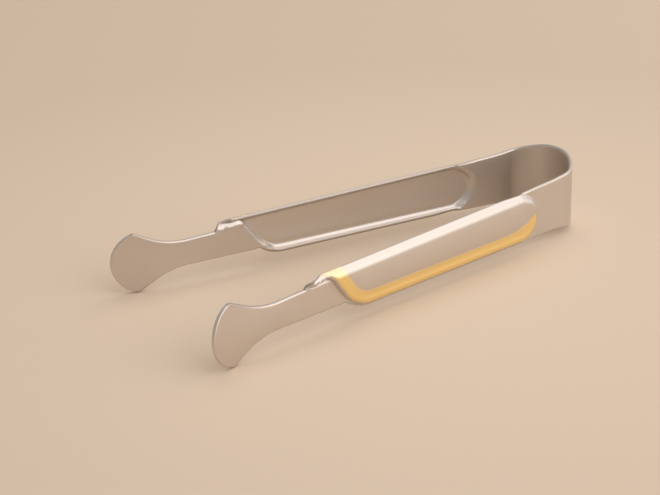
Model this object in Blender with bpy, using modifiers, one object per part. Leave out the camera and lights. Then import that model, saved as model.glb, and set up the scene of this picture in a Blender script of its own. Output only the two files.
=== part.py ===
"""Sugar tongs: one strip of sheet steel bent into a spring bow with two arms.

Each arm runs from the bow over a flat shoulder into a pressed grip panel and
ends in a fan-shaped claw. A gilt border lies on the outer face of each panel.
The model is in metres, +Z up and +X towards the bow, and the two arms mirror
each other across Y = 0. The lower edge of the bow lies on Z = 0.

Places along an arm are measured from the end of the bow, heights from the
middle line of the strip, and levels from the middle of the flat sheet, away
from the other arm.
"""

import math

import bmesh
import bpy

MM = 0.001

# The strip
LENGTH = 105.0 * MM  # over all, crown of the bow to the tips of the claws
SHEET = 0.9 * MM  # thickness
EDGE_SOFTENING = 0.12 * MM  # rounding of the sheared edges
JOINT_GAP = 0.3 * MM  # clearance between neighbouring pieces

# The bow, along the middle of the sheet
BOW_RADIUS = 11.46 * MM
BOW_TURN = math.radians(49.0)  # half of the wide arc
CORNER_RADIUS = 4.6 * MM  # tighter bend between the arc and an arm
SPLAY = math.radians(6.4)  # each arm leans this far away from the X axis
CROWN_WIDTH = 16.9 * MM  # the strip is widest at the crown
CROWN_FLAT = 1.2 * MM  # half length of the straight edge at the crown
CROWN_RUN = 8.9 * MM  # the extra width fades over about this length
BOW_STEPS = 56

# The arm
ARM_WIDTH = 12.3 * MM  # width of the strip where the arm starts
ARM_TAPER = 0.025  # loss of width for each unit of length

# The pressed panel, its bends measured at the middle of the sheet
PANEL_RISE = 1.4 * MM  # the panel stands this far out of the sheet
SIDE_BEND = 1.6 * MM  # along both sides
RAMP_BEND = 1.2 * MM  # soft slope next to the shoulder
RAMP_TURN = math.radians(55.0)
STEP_BEND = 0.6 * MM  # steep step next to the claw
STEP_TURN = math.radians(90.0)
ROUND_AT = 15.35 * MM  # centre of the round end
CURVE_AT = 59.2 * MM  # here the lower side turns into the oblique end
CURVE_RADIUS = 7.45 * MM
CURVE_TURN = math.radians(57.0)
TONGUE_CORNER = 0.8 * MM
TONGUE_REACH = 5.4 * MM  # the upper corner runs out into a short tongue
TONGUE_TURN = math.radians(20.0)  # above the arm's direction it runs out over this angle
TONGUE_STEPS = 24
BEND_STEPS = 5

# The shoulder
HORN_END = 13.0 * MM  # the flat strip reaches this far beside the round end
SHOULDER_STEPS = 12

# The claw
SHANK_ROOT = 58.0 * MM
SHANK_ROOT_HALF = 3.3 * MM
WAIST_HALF = 3.0 * MM
WAIST_RADIUS = 16.5 * MM
WAIST_BEFORE_TIP = 16.8 * MM
FLARE = math.radians(29.0)
FAN_RADIUS = 6.85 * MM
FAN_CORNER = 1.5 * MM
CLAW_CURL = math.radians(17.0)  # the end of the claw turns away from the other arm
CURL_RUN = 11.0 * MM  # length over which it does

# The gilt border
GILT_THICKNESS = 0.05 * MM
GILT_SEAT = 0.01 * MM  # clearance under the thin skin
GILT_WIDTH = 1.9 * MM
GILT_INSET = 0.05 * MM
GILT_LIFT_AT = 20.4 * MM  # from here the inner edge sweeps up to the round end
GILT_SWEEP = 15.8 * MM

CUTTER_DEPTH = 6.0 * MM
WELD = 0.001 * MM

# Colour, metallic and roughness
STEEL = ((0.66, 0.60, 0.55, 1.0), 1.0, 0.32)
GILT = ((0.93, 0.66, 0.28, 1.0), 1.0, 0.26)

# Lengths that follow from the sizes above
CORNER_TURN = math.pi / 2 - BOW_TURN - SPLAY
BOW_HALF_LENGTH = BOW_RADIUS * BOW_TURN + CORNER_RADIUS * CORNER_TURN
MIDDLE_HEIGHT = CROWN_WIDTH / 2
SIDE_RUN = SIDE_BEND + SHEET / 2
CURL_RADIUS = CURL_RUN / CLAW_CURL
SIDES = {"left": -1, "right": 1}


def remove_everything():
    """Empty the scene."""
    for obj in list(bpy.data.objects):
        bpy.data.objects.remove(obj, do_unlink=True)


def new_collection(name):
    """Make a collection in the scene."""
    collection = bpy.data.collections.new(name)
    bpy.context.scene.collection.children.link(collection)
    return collection


def new_metal(name, look):
    """Make a metal of one colour."""
    colour, metallic, roughness = look
    material = bpy.data.materials.new(name)
    material.use_nodes = True
    shader = material.node_tree.nodes["Principled BSDF"]
    shader.inputs["Base Color"].default_value = colour
    shader.inputs["Metallic"].default_value = metallic
    shader.inputs["Roughness"].default_value = roughness
    material.diffuse_color = colour
    return material


def bow_point(along):
    """Middle of the sheet in plan, so far along the strip from the crown."""
    run = abs(along)
    wide = min(run / BOW_RADIUS, BOW_TURN)
    turned = wide + max(run - BOW_RADIUS * BOW_TURN, 0.0) / CORNER_RADIUS
    x = LENGTH / 2 - SHEET / 2 - BOW_RADIUS * (1 - math.cos(wide))
    y = BOW_RADIUS * math.sin(wide)
    x -= CORNER_RADIUS * (math.cos(wide) - math.cos(turned))
    y += CORNER_RADIUS * (math.sin(turned) - math.sin(wide))
    return x, math.copysign(y, along)


def arm_half_width(x):
    """Half the width of an arm, x along it from the end of the bow."""
    return (ARM_WIDTH - ARM_TAPER * x) / 2


def strip_half_width(along):
    """Half the width of the strip, so far along it from the crown."""
    run = max(abs(along) - CROWN_FLAT, 0.0)
    start = arm_half_width(CROWN_FLAT - BOW_HALF_LENGTH)
    extra = (CROWN_WIDTH / 2 - start) * math.exp(-((run / CROWN_RUN) ** 2))
    return arm_half_width(run + CROWN_FLAT - BOW_HALF_LENGTH) + extra


def arm_length():
    """Length of an arm along the middle of the sheet, out to its tip."""
    lean = SPLAY + CLAW_CURL
    reach = bow_point(BOW_HALF_LENGTH)[0] + LENGTH / 2 - SHEET / 2 * math.sin(lean)
    reach -= CURL_RADIUS * (math.sin(lean) - math.sin(SPLAY))
    return reach / math.cos(SPLAY) + CURL_RUN


def arc(centre, radius, start, end, steps):
    """Points along an arc, both ends included."""
    points = []
    for i in range(steps + 1):
        angle = start + (end - start) * i / steps
        points.append((centre[0] + radius * math.cos(angle), centre[1] + radius * math.sin(angle)))
    return points


def smooth(value):
    """Ease from 0 to 1 with level ends."""
    value = min(max(value, 0.0), 1.0)
    return value * value * (3 - 2 * value)


def link_mesh(name, mesh, collection, material=None):
    """Make an object of a mesh."""
    obj = bpy.data.objects.new(name, mesh)
    collection.objects.link(obj)
    if material:
        mesh.materials.append(material)
    return obj


def outline_plate(name, points, thickness):
    """Mesh of a flat outline in X and Z with its thickness along Y."""
    curve = bpy.data.curves.new(name, "CURVE")
    curve.dimensions = "2D"
    curve.fill_mode = "BOTH"
    curve.extrude = thickness / 2
    spline = curve.splines.new("POLY")
    spline.points.add(len(points) - 1)
    for point, (x, z) in zip(spline.points, points):
        point.co = (x, z, 0.0, 1.0)
    spline.use_cyclic_u = True
    guide = bpy.data.objects.new(name, curve)
    bpy.context.scene.collection.objects.link(guide)
    evaluated = guide.evaluated_get(bpy.context.evaluated_depsgraph_get())
    mesh = bpy.data.meshes.new_from_object(evaluated)
    bpy.data.objects.remove(guide, do_unlink=True)
    bpy.data.curves.remove(curve)
    work = bmesh.new()
    work.from_mesh(mesh)
    bmesh.ops.remove_doubles(work, verts=work.verts, dist=WELD)
    bmesh.ops.dissolve_limit(work, angle_limit=math.radians(0.5), verts=work.verts, edges=work.edges)
    for vert in work.verts:
        x, z, y = vert.co
        vert.co = (x, -y, z)
    bmesh.ops.recalc_face_normals(work, faces=work.faces)
    work.to_mesh(mesh)
    work.free()
    return mesh


def soften(obj):
    """Round the sheared edges a little."""
    bevel = obj.modifiers.new("Softened edges", "BEVEL")
    bevel.width = EDGE_SOFTENING
    bevel.segments = 2
    bevel.limit_method = "ANGLE"
    bevel.angle_limit = math.radians(60)


def cut(obj, cutter):
    """Take the cutter's space out of a piece."""
    boolean = obj.modifiers.new("Cut for the panel", "BOOLEAN")
    boolean.operation = "DIFFERENCE"
    boolean.solver = "EXACT"
    boolean.object = cutter


def shade(obj):
    """Shade a piece smooth with crisp edges."""
    obj.data.shade_smooth()
    obj.data.set_sharp_from_angle(angle=math.radians(35))


def bend_profile(bend, turn, skin):
    """Run and level of a surface from the raised panel down to the sheet.

    Skin is +1 for the outer surface and -1 for the inner one. The two bends
    turn opposite ways about centres a straight wall apart.
    """
    half = skin * SHEET / 2
    wall = (PANEL_RISE - 2 * bend * (1 - math.cos(turn))) / math.sin(turn)
    run = 2 * bend * math.sin(turn) + wall * math.cos(turn)
    top = arc((0.0, PANEL_RISE - bend), bend + half, math.pi / 2, math.pi / 2 - turn, BEND_STEPS)
    foot = arc((run, bend), bend - half, -math.pi / 2 - turn, -math.pi / 2, BEND_STEPS)
    return top + foot


def side_profile(skin):
    """Run and level of a surface over a side bend and down to the free edge."""
    half = skin * SHEET / 2
    top = arc((0.0, PANEL_RISE - SIDE_BEND), SIDE_BEND + half, math.pi / 2, 0.0, BEND_STEPS)
    run, level = top[-1]
    edge = -SHEET / 2
    foot = [(run, level + (edge - level) * (i + 1) / (BEND_STEPS + 1)) for i in range(BEND_STEPS + 1)]
    return top + foot


class Ray:
    """One line down the wall of the panel, seen in the plane of the sheet."""

    def __init__(self, base, angle, kind, share, reach):
        self.base = base
        self.angle = angle
        self.kind = kind
        self.share = share
        self.reach = reach

    def at(self, run):
        """Place so far out from the flat of the panel."""
        x = self.base[0] + run * math.cos(self.angle)
        z = self.base[1] + run * math.sin(self.angle)
        return x, z

    def line(self, skin):
        """Points down one skin, as x, z and level."""
        side = side_profile(skin)
        other = side
        if self.kind == "ramp":
            other = bend_profile(RAMP_BEND, RAMP_TURN, skin)
        if self.kind == "step":
            other = bend_profile(STEP_BEND, STEP_TURN, skin)
        mixed = []
        for (run_a, level_a), (run_b, level_b) in zip(side, other):
            run = run_a + (run_b - run_a) * self.share
            level = level_a + (level_b - level_a) * self.share
            mixed.append((run, level))
        full = self.plain_reach()
        stretch = self.reach / full
        if skin < 0:
            stretch = min(stretch, 1.0)
        return [(*self.at(run * stretch), level) for run, level in mixed]

    def plain_reach(self):
        """Reach of the outer skin before it is stretched."""
        other = SIDE_RUN
        if self.kind == "ramp":
            other = bend_profile(RAMP_BEND, RAMP_TURN, 1)[-1][0]
        if self.kind == "step":
            other = bend_profile(STEP_BEND, STEP_TURN, 1)[-1][0]
        return SIDE_RUN + (other - SIDE_RUN) * self.share


def curve_centre():
    """Centre of the lower curve of the oblique end."""
    return CURVE_AT, SIDE_RUN - arm_half_width(CURVE_AT) + CURVE_RADIUS


def tongue_centre():
    """Centre of the small round at the upper corner of the oblique end."""
    x, z = curve_centre()
    heading = CURVE_TURN - math.pi / 2
    inset = CURVE_RADIUS - TONGUE_CORNER
    x += inset * math.cos(heading)
    z += inset * math.sin(heading)
    rise = arm_half_width(CURVE_AT) - SIDE_RUN - TONGUE_CORNER - z
    rise /= 1 + ARM_TAPER / 2 / math.tan(CURVE_TURN)
    return x + rise / math.tan(CURVE_TURN), z + rise


def round_end_rays():
    """Rays about the round end, from the upper side over to the lower side."""
    radius = arm_half_width(ROUND_AT) - SIDE_RUN
    across = radius + SIDE_RUN
    out = radius + bend_profile(RAMP_BEND, RAMP_TURN, 1)[-1][0]
    rays = []
    steps = 24
    for i in range(steps + 1):
        angle = math.pi / 2 + math.pi * i / steps
        base = (ROUND_AT + radius * math.cos(angle), radius * math.sin(angle))
        foot = out * across / math.hypot(across * math.cos(angle), out * math.sin(angle))
        share = smooth(-math.cos(angle) / math.cos(math.radians(55)))
        rays.append(Ray(base, angle, "ramp", share, foot - radius))
    return rays


def oblique_end_rays():
    """Rays about the oblique end, from the lower side up to the upper side."""
    rays = []
    centre = curve_centre()
    steps = 10
    for i in range(steps + 1):
        angle = -math.pi / 2 + CURVE_TURN * i / steps
        base = (centre[0] + CURVE_RADIUS * math.cos(angle), centre[1] + CURVE_RADIUS * math.sin(angle))
        ray = Ray(base, angle, "step", smooth((i / steps - 0.25) / 0.35), 0.0)
        ray.reach = ray.plain_reach()
        rays.append(ray)
    centre = tongue_centre()
    start = CURVE_TURN - math.pi / 2
    for i in range(TONGUE_STEPS + 1):
        angle = start + (math.pi / 2 - start) * i / TONGUE_STEPS
        base = (centre[0] + TONGUE_CORNER * math.cos(angle), centre[1] + TONGUE_CORNER * math.sin(angle))
        swing = smooth(angle / TONGUE_TURN)
        ray = Ray(base, angle, "step", 1 - swing, 0.0)
        ray.reach = ray.plain_reach() + (TONGUE_REACH - ray.plain_reach()) * swing
        if angle > 0:
            to_edge = arm_half_width(base[0]) - base[1]
            ray.reach = min(ray.reach, to_edge / math.sin(angle))
        rays.append(ray)
    return rays


def panel_rays():
    """All rays around the panel, in the turning sense that keeps it on the left."""
    return round_end_rays() + oblique_end_rays()


def panel_mesh(side):
    """Pressed panel: a flat with bends all round, the outer and the inner skin joined at the edge."""
    work = bmesh.new()
    outer = []
    inner = []
    for ray in panel_rays():
        for skin, lines in ((1, outer), (-1, inner)):
            line = ray.line(skin)
            lines.append([work.verts.new((x, -side * level, z)) for x, z, level in line])
    count = len(outer)
    for k in range(count):
        following = (k + 1) % count
        for lines in (outer, inner):
            here = lines[k]
            there = lines[following]
            for j in range(len(here) - 1):
                work.faces.new((here[j], there[j], there[j + 1], here[j + 1]))
        work.faces.new((outer[k][-1], outer[following][-1], inner[following][-1], inner[k][-1]))
    for lines in (outer, inner):
        work.faces.new([line[0] for line in lines])
    bmesh.ops.remove_doubles(work, verts=work.verts, dist=WELD)
    bmesh.ops.recalc_face_normals(work, faces=work.faces)
    mesh = bpy.data.meshes.new("Pressed panel")
    work.to_mesh(mesh)
    work.free()
    return mesh


def panel_footprint():
    """Outline of the panel in the plane of the sheet with the joint's clearance."""
    return [ray.at(ray.reach + JOINT_GAP) for ray in panel_rays()]


def shoulder_outline():
    """Flat strip from the bow to beside the round end of the panel."""
    upper = []
    for i in range(SHOULDER_STEPS + 1):
        x = JOINT_GAP + (HORN_END - JOINT_GAP) * i / SHOULDER_STEPS
        upper.append((x, strip_half_width(BOW_HALF_LENGTH + x)))
    lower = [(x, -z) for x, z in reversed(upper)]
    return upper + lower


def fan_corner(waist_end):
    """Centre and contact angles of the rounding between a flank and the tip's arc."""
    tip_centre = arm_length() - FAN_RADIUS
    start_x = waist_end[0] + FAN_CORNER * math.sin(FLARE) - tip_centre
    start_z = waist_end[1] - FAN_CORNER * math.cos(FLARE)
    along = start_x * math.cos(FLARE) + start_z * math.sin(FLARE)
    gap = start_x**2 + start_z**2 - (FAN_RADIUS - FAN_CORNER) ** 2
    travel = -along + math.sqrt(along**2 - gap)
    centre = (
        tip_centre + start_x + travel * math.cos(FLARE),
        start_z + travel * math.sin(FLARE),
    )
    contact = math.atan2(centre[1], centre[0] - tip_centre)
    return centre, contact


def claw_outline():
    """Flat shank with a waist that flares into a fan, symmetric about its middle line."""
    length = arm_length()
    waist = length - WAIST_BEFORE_TIP
    hollow = (waist, WAIST_HALF + WAIST_RADIUS)
    flank = arc(hollow, WAIST_RADIUS, -math.pi / 2, FLARE - math.pi / 2, 7)
    centre, contact = fan_corner(flank[-1])
    corner = arc(centre, FAN_CORNER, math.pi / 2 + FLARE, contact, 6)
    tip = arc((length - FAN_RADIUS, 0.0), FAN_RADIUS, contact, 0.0, 12)[1:]
    upper = [(SHANK_ROOT, SHANK_ROOT_HALF)] + flank + corner + tip
    lower = [(x, -z) for x, z in reversed(upper[:-1])]
    return upper + lower


def curl_outwards(mesh, side):
    """Bend the end of a flat claw away from the other arm."""
    start = arm_length() - CURL_RUN
    work = bmesh.new()
    work.from_mesh(mesh)
    lines = {start}
    lines.update(round(vert.co.x, 6) for vert in work.verts if vert.co.x > start)
    for x in sorted(lines):
        everything = work.verts[:] + work.edges[:] + work.faces[:]
        bmesh.ops.bisect_plane(work, geom=everything, dist=WELD, plane_co=(x, 0, 0), plane_no=(1, 0, 0))
    for vert in work.verts:
        turn = max(vert.co.x - start, 0.0) / CURL_RADIUS
        radius = CURL_RADIUS + side * vert.co.y
        if turn > 0.0:
            vert.co.x = start + radius * math.sin(turn)
            vert.co.y = -side * (CURL_RADIUS - radius * math.cos(turn))
    work.to_mesh(mesh)
    work.free()


def circle_crossing(centre_a, radius_a, centre_b, radius_b):
    """The crossing of two circles that lies furthest to -X."""
    dx = centre_b[0] - centre_a[0]
    dz = centre_b[1] - centre_a[1]
    apart = math.hypot(dx, dz)
    along = (apart**2 + radius_a**2 - radius_b**2) / (2 * apart)
    offset = math.sqrt(radius_a**2 - along**2)
    foot = (centre_a[0] + along * dx / apart, centre_a[1] + along * dz / apart)
    first = (foot[0] - offset * dz / apart, foot[1] + offset * dx / apart)
    second = (foot[0] + offset * dz / apart, foot[1] - offset * dx / apart)
    return min(first, second)


def gilt_outline():
    """Border along the lower side and the oblique end, pointed at the round end."""
    radius = arm_half_width(ROUND_AT) - SIDE_RUN - GILT_INSET
    round_centre = (ROUND_AT, 0.0)
    inner_line = SIDE_RUN + GILT_WIDTH - arm_half_width(GILT_LIFT_AT)
    sweep_centre = (GILT_LIFT_AT, inner_line + GILT_SWEEP)
    point = circle_crossing(round_centre, radius, sweep_centre, GILT_SWEEP)
    start = math.atan2(point[1], point[0] - ROUND_AT)
    outer = arc(round_centre, radius, start, 3 * math.pi / 2, 14)
    centre = curve_centre()
    bottom = -math.pi / 2
    heading = CURVE_TURN + bottom
    outer += arc(centre, CURVE_RADIUS - GILT_INSET, bottom, heading, 10)
    end_x, end_z = tongue_centre()
    top = end_z + TONGUE_CORNER - GILT_INSET
    outer_end = end_x + (TONGUE_CORNER - GILT_INSET) * math.cos(heading)
    outer.append((outer_end, end_z + (TONGUE_CORNER - GILT_INSET) * math.sin(heading)))
    outer.append((end_x + (TONGUE_CORNER - GILT_INSET) * math.cos(math.pi / 4),
                  end_z + (TONGUE_CORNER - GILT_INSET) * math.sin(math.pi / 4)))
    outer.append((end_x, top))
    inner = arc(centre, CURVE_RADIUS - GILT_WIDTH, heading, bottom, 8)
    rise = top - inner[0][1]
    inner.insert(0, (inner[0][0] + rise / math.tan(CURVE_TURN), top))
    sweep_end = math.atan2(point[1] - sweep_centre[1], point[0] - sweep_centre[0])
    if sweep_end > 0:
        sweep_end -= 2 * math.pi
    inner += arc(sweep_centre, GILT_SWEEP, bottom, sweep_end, 10)[:-1]
    return outer + inner


def make_bow(collection, material):
    """A level strip, widest at the crown, bent to the bow's arcs."""
    bpy.ops.mesh.primitive_grid_add(x_subdivisions=BOW_STEPS, y_subdivisions=1, size=2)
    bow = bpy.context.object
    bow.name = "spring_bow"
    for vert in bow.data.vertices:
        along = vert.co.x * BOW_HALF_LENGTH
        height = vert.co.y * strip_half_width(along)
        x, y = bow_point(along)
        vert.co = (x, y, MIDDLE_HEIGHT + height)
    for owner in list(bow.users_collection):
        owner.objects.unlink(bow)
    collection.objects.link(bow)
    bow.data.materials.append(material)
    solid = bow.modifiers.new("Sheet", "SOLIDIFY")
    solid.thickness = SHEET
    solid.offset = 0.0
    soften(bow)
    shade(bow)


def make_hinge(name, side, collection):
    """Empty on the line where an arm springs from the bow, with X along the arm."""
    x, y = bow_point(BOW_HALF_LENGTH)
    half_gap = JOINT_GAP / 2
    hinge = bpy.data.objects.new(name, None)
    hinge.empty_display_size = MIDDLE_HEIGHT
    hinge.location = (
        x - half_gap * math.cos(SPLAY),
        side * (y + half_gap * math.sin(SPLAY)),
        MIDDLE_HEIGHT,
    )
    hinge.rotation_euler = (0.0, 0.0, math.pi - side * SPLAY)
    collection.objects.link(hinge)
    return hinge


def hang(obj, hinge):
    """Fix a piece of an arm to the arm's hinge."""
    for vert in obj.data.vertices:
        vert.co.x -= JOINT_GAP / 2
    obj.parent = hinge


def make_cutter(name, hinge, collection):
    """Space of the panel, taken out of its neighbours."""
    mesh = outline_plate(name, panel_footprint(), CUTTER_DEPTH)
    cutter = link_mesh(name, mesh, collection)
    cutter.hide_render = True
    cutter.display_type = "WIRE"
    hang(cutter, hinge)
    return cutter


def make_arm(name, side, parts, cutters, steel, gilt):
    """Shoulder, panel, border and claw of one arm."""
    hinge = make_hinge("hinge_" + name, side, parts)
    cutter = make_cutter("panel_space_" + name, hinge, cutters)
    shoulder = outline_plate("Shoulder", shoulder_outline(), SHEET)
    claw = outline_plate("Claw", claw_outline(), SHEET)
    curl_outwards(claw, side)
    for part, mesh in (("shoulder_", shoulder), ("claw_", claw)):
        piece = link_mesh(part + name, mesh, parts, steel)
        hang(piece, hinge)
        soften(piece)
        cut(piece, cutter)
        shade(piece)
    panel = link_mesh("grip_panel_" + name, panel_mesh(side), parts, steel)
    hang(panel, hinge)
    shade(panel)
    border = link_mesh("gilt_border_" + name, outline_plate("Border", gilt_outline(), GILT_THICKNESS), parts, gilt)
    level = PANEL_RISE + SHEET / 2 + GILT_SEAT + GILT_THICKNESS / 2
    for vert in border.data.vertices:
        vert.co.y -= side * level
    hang(border, hinge)


def main():
    """Build the tongs."""
    remove_everything()
    parts = new_collection("Sugar tongs")
    cutters = new_collection("Cutters")
    steel = new_metal("steel", STEEL)
    gilt = new_metal("gilt", GILT)
    make_bow(parts, steel)
    for name, side in SIDES.items():
        make_arm(name, side, parts, cutters, steel, gilt)


main()
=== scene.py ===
"""Studio scene of the sugar tongs.

The strip of steel is modelled as one fine sheet for each half, from the crown
of the bow to the tip of the claw, and the gilt border as a thin skin that
follows the pressed panel over its bends. Lengths are in metres.
"""

import logging
import math
from collections.abc import Callable
from dataclasses import dataclass, field
from enum import Enum

import bpy
import numpy as np
from mathutils import Matrix, Vector


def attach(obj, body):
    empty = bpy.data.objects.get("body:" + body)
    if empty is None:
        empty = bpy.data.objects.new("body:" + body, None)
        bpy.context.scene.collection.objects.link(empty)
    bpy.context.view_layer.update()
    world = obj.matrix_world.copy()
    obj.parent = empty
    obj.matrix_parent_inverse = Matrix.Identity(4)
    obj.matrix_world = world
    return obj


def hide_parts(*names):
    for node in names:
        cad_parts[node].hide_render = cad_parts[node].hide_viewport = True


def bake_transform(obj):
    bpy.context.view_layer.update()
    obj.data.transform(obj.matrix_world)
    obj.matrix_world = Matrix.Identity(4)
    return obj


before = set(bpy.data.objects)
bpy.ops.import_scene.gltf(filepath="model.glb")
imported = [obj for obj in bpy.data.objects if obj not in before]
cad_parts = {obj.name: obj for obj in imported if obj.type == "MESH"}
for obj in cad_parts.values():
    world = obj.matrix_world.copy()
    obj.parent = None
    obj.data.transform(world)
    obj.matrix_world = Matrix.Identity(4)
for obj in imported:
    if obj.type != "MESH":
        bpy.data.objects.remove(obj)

LOG = logging.getLogger("sugar tongs")
MM = 0.001
QUARTER = math.pi / 2
SHARP_ANGLE = math.radians(50.0)
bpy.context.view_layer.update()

Pair = tuple[float, float]
Triple = tuple[float, float, float]
Zone = tuple[float, float, float, float]
Colour = tuple[float, float, float, float]


class Side(Enum):
    """The two arms, by the sign of their side of the plane Y = 0."""

    LEFT = -1
    RIGHT = 1

    @property
    def word(self) -> str:
        """Name of the side in the node names."""
        return self.name.lower()


class Wall(Enum):
    """Forms of the wall between the raised panel and the sheet: radius and turn of their bends."""

    SIDE = (1.62 * MM, math.radians(80.0))
    RAMP = (1.2 * MM, math.radians(55.0))
    STEP = (0.6 * MM, math.radians(75.0))


def smooth(value: float) -> float:
    """Ease from 0 to 1 with level ends."""
    value = min(max(value, 0.0), 1.0)
    return value * value * (3.0 - 2.0 * value)


def rising(value: float, start: float, end: float) -> float:
    """Ease from 0 at the start of a stretch to 1 at its end."""
    return smooth((value - start) / (end - start))


def window(value: float, zone: Zone) -> float:
    """Ease from 0 to 1 over the first stretch of a zone, and back to 0 over its last."""
    return rising(value, *zone[:2]) * (1.0 - rising(value, *zone[2:]))


def even(start: float, end: float, count: int) -> list[float]:
    """Evenly spaced values from start up to, and without, end."""
    return [start + (end - start) * i / count for i in range(count)]


def between(start: float, end: float, part: float) -> float:
    """Value part of the way from one value to another."""
    return start + (end - start) * part


def on_line(start: Pair, end: Pair, part: float) -> Pair:
    """Point part of the way from one point to another."""
    return between(start[0], end[0], part), between(start[1], end[1], part)


def on_arc(centre: Pair, radius: float, angle: float) -> Pair:
    """Point at a distance from a centre, in a direction."""
    return centre[0] + radius * math.cos(angle), centre[1] + radius * math.sin(angle)


@dataclass(frozen=True)
class Strip:
    """The sheet-metal strip: its bend in plan and its width along its length.

    "Along" is the distance from the crown of the bow along the middle of the
    sheet, and "out" the distance from that middle, away from the other arm.
    """

    length: float = 105.0 * MM
    sheet: float = 0.9 * MM
    bow_radius: float = 11.46 * MM
    bow_turn: float = math.radians(49.0)
    corner_radius: float = 4.6 * MM
    splay: float = math.radians(6.4)
    crown_width: float = 16.9 * MM
    crown_flat: float = 1.2 * MM
    crown_run: float = 8.9 * MM
    arm_width: float = 12.3 * MM
    arm_taper: float = 0.025
    curl: float = math.radians(17.0)
    curl_run: float = 11.0 * MM

    @property
    def corner_turn(self) -> float:
        """Turn of the tight bend next to an arm."""
        return QUARTER - self.bow_turn - self.splay

    @property
    def bow_half(self) -> float:
        """Length of the strip from the crown to the start of an arm."""
        return self.bow_radius * self.bow_turn + self.corner_radius * self.corner_turn

    @property
    def middle_height(self) -> float:
        """Height of the strip's middle line."""
        return self.crown_width / 2

    @property
    def curl_radius(self) -> float:
        """Radius of the outward curl of a claw."""
        return self.curl_run / self.curl

    @property
    def tip(self) -> float:
        """Distance from the crown to the tip of a claw."""
        lean = self.splay + self.curl
        reach = self.bow_plan(self.bow_half)[0] + self.length / 2 - self.sheet / 2 * math.sin(lean)
        reach -= self.curl_radius * (math.sin(lean) - math.sin(self.splay))
        return self.bow_half + reach / math.cos(self.splay) + self.curl_run

    def bow_plan(self, along: float) -> Triple:
        """Middle of the sheet in plan as far as the bow goes.

        Args:
            along: distance from the crown.

        Returns:
            X, Y and the heading, as plan() gives them.
        """
        wide = min(along / self.bow_radius, self.bow_turn)
        tight = max(along - self.bow_radius * self.bow_turn, 0.0) / self.corner_radius
        turned = wide + min(tight, self.corner_turn)
        x = self.length / 2 - self.sheet / 2 - self.bow_radius * (1 - math.cos(wide))
        x -= self.corner_radius * (math.cos(wide) - math.cos(turned))
        y = self.bow_radius * math.sin(wide) + self.corner_radius * (math.sin(turned) - math.sin(wide))
        return x, y, turned

    def plan(self, along: float) -> Triple:
        """Middle of the sheet in plan on the right-hand side.

        Args:
            along: distance from the crown.

        Returns:
            X, Y and the heading, as an angle from +Y towards -X.
        """
        x, y, turned = self.bow_plan(along)
        curl_start = self.tip - self.curl_run
        straight = min(max(along - self.bow_half, 0.0), curl_start - self.bow_half)
        curled = max(along - curl_start, 0.0) / self.curl_radius
        x += self.curl_radius * (math.cos(turned) - math.cos(turned - curled)) - straight * math.sin(turned)
        y += self.curl_radius * (math.sin(turned) - math.sin(turned - curled)) + straight * math.cos(turned)
        return x, y, turned - curled

    def half_width(self, along: float) -> float:
        """Half the width of the plain strip.

        Args:
            along: distance from the crown.

        Returns:
            Half the width there.
        """
        run = max(along - self.crown_flat, 0.0)
        start = (self.arm_width - self.arm_taper * (self.crown_flat - self.bow_half)) / 2
        extra = (self.crown_width / 2 - start) * math.exp(-((run / self.crown_run) ** 2))
        return start - self.arm_taper * run / 2 + extra

    def place(self, along: float, height: float, out: float, side: Side) -> Triple:
        """Place in the object's frame of a point given on the strip.

        Args:
            along: distance from the crown.
            height: height over the middle line.
            out: distance from the middle of the sheet.
            side: the arm.

        Returns:
            X, Y and Z.
        """
        x, y, heading = self.plan(along)
        x, y = on_arc((x, y), out, heading)
        return x, side.value * y, self.middle_height + height


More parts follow.
